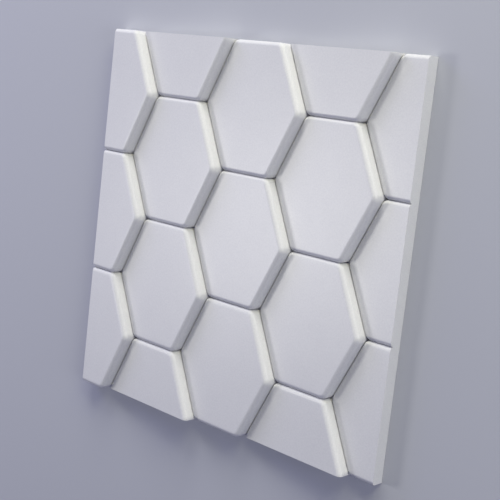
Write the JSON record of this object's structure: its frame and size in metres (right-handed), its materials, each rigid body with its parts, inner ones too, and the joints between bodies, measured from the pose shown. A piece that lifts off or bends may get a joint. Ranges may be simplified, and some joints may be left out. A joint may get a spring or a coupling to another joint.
{
  "type": "3d wall panel tile",
  "caption": "Square cast gypsum wall tile with a honeycomb relief whose cell faces lean, so each cell steps down to its neighbours with rounded lips and fine joints.",
  "frame": {"origin": "centre of the tile's flat back, which lies on the floor", "axes": "+Z out of the relief, square to the back; +X towards the edge that the cell faces rise to, the panel's right in the picture; +Y towards the panel's upper edge in the picture"},
  "size_m": [0.6, 0.6, 0.0355],
  "materials": {
    "cast_gypsum": "matte"
  },
  "bodies": {
    "root": {"wall_panel": "cast_gypsum"}
  },
  "joints": []
}
